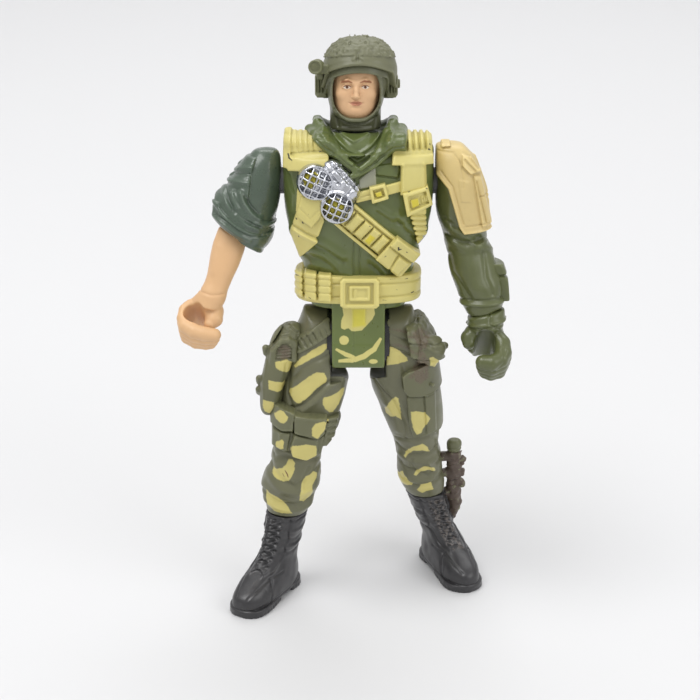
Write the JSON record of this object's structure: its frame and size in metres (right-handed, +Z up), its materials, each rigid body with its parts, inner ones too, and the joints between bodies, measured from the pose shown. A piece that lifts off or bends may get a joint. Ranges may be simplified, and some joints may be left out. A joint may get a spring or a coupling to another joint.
{
  "type": "action figure",
  "caption": "Standing toy soldier with turning head, swinging arms and legs, a turning forearm and hands that grip small accessories.",
  "frame": {"origin": "on the standing surface, under the middle of the figure's box", "axes": "+Z up, the figure faces -Y, its right side is at -X"},
  "size_m": [0.056, 0.0272, 0.1],
  "materials": {
    "skin": "semi-gloss moulded skin colour",
    "hood_olive": "satin olive paint",
    "helmet_olive": "satin olive paint, textured cover",
    "joint_grey": "plain moulded",
    "jacket_olive": "glossy moulded olive",
    "webbing_tan": "satin yellow-tan paint, chipped",
    "silver": "bright silver paint",
    "saddle_olive": "glossy olive with painted patches",
    "sleeve_green": "glossy dark blue-green",
    "pad_tan": "satin tan paint",
    "glove_olive": "glossy moulded olive",
    "disc_black": "plain moulded black",
    "trouser_camo": "satin grey-olive with tan patches",
    "boot_black": "satin black",
    "gear_camo": "satin grey-olive with tan patches",
    "gear_olive": "satin grey-olive",
    "sheath_brown": "dark brown, stained"
  },
  "bodies": {
    "torso": {"torso_front": "jacket_olive", "torso_back": "jacket_olive", "collar": "jacket_olive", "harness_right": "webbing_tan", "harness_left": "webbing_tan", "harness_buckle": "webbing_tan", "chest_strap": "webbing_tan", "bandolier": "webbing_tan", "bandolier_pouch": "webbing_tan", "side_strap": "webbing_tan", "twin_canister": "silver", "belt": "webbing_tan", "belt_buckle": "webbing_tan", "belt_pouches": "webbing_tan", "crotch_saddle": "saddle_olive", "hip_axle": "joint_grey"},
    "head": {"hood": "hood_olive", "face": "skin", "helmet": "helmet_olive", "helmet_lamp": "helmet_olive", "ear_cup_right": "helmet_olive", "ear_cup_left": "helmet_olive", "neck_peg": "joint_grey"},
    "arm_right": {"sleeve_right": "sleeve_green", "shoulder_peg_right": "joint_grey"},
    "forearm": {"forearm_right": "skin"},
    "arm_left": {"sleeve_left": "jacket_olive", "shoulder_peg_left": "joint_grey", "shoulder_pad": "pad_tan", "forearm_pocket": "jacket_olive", "glove_left": "glove_olive"},
    "leg_right": {"hip_disc_right": "disc_black", "trouser_right": "trouser_camo", "boot_right": "boot_black", "sheath_right": "gear_camo", "thigh_strap": "gear_camo", "knee_pouches": "gear_camo"},
    "leg_left": {"hip_disc_left": "disc_black", "trouser_left": "trouser_camo", "boot_left": "boot_black", "hip_pouch": "gear_camo", "cargo_pocket": "gear_camo", "knife": "gear_olive", "knife_sheath": "sheath_brown"}
  },
  "joints": [
    {"name": "head_turn", "type": "hinge", "parent": "torso", "child": "head", "pos_m": [0.00165, 0.0024, 0.08374], "axis": [0, 0.1219, 0.9925], "continuous": true},
    {"name": "shoulder_right", "type": "hinge", "parent": "torso", "child": "arm_right", "pos_m": [-0.0105, 0.00148, 0.0762], "axis": [1, 0, 0], "continuous": true},
    {"name": "forearm_swivel", "type": "hinge", "parent": "arm_right", "child": "forearm", "pos_m": [-0.01855, -0.00079, 0.06842], "axis": [-0.3077, -0.3732, -0.8753], "continuous": true},
    {"name": "shoulder_left", "type": "hinge", "parent": "torso", "child": "arm_left", "pos_m": [0.0148, 0.00148, 0.0762], "axis": [1, 0, 0], "continuous": true},
    {"name": "hip_right", "type": "hinge", "parent": "torso", "child": "leg_right", "pos_m": [-0.0025, -0.00179, 0.0496], "axis": [1, 0, 0], "range_deg": [-85, 30]},
    {"name": "hip_left", "type": "hinge", "parent": "torso", "child": "leg_left", "pos_m": [0.0068, -0.00179, 0.0496], "axis": [1, 0, 0], "range_deg": [-85, 30]}
  ]
}
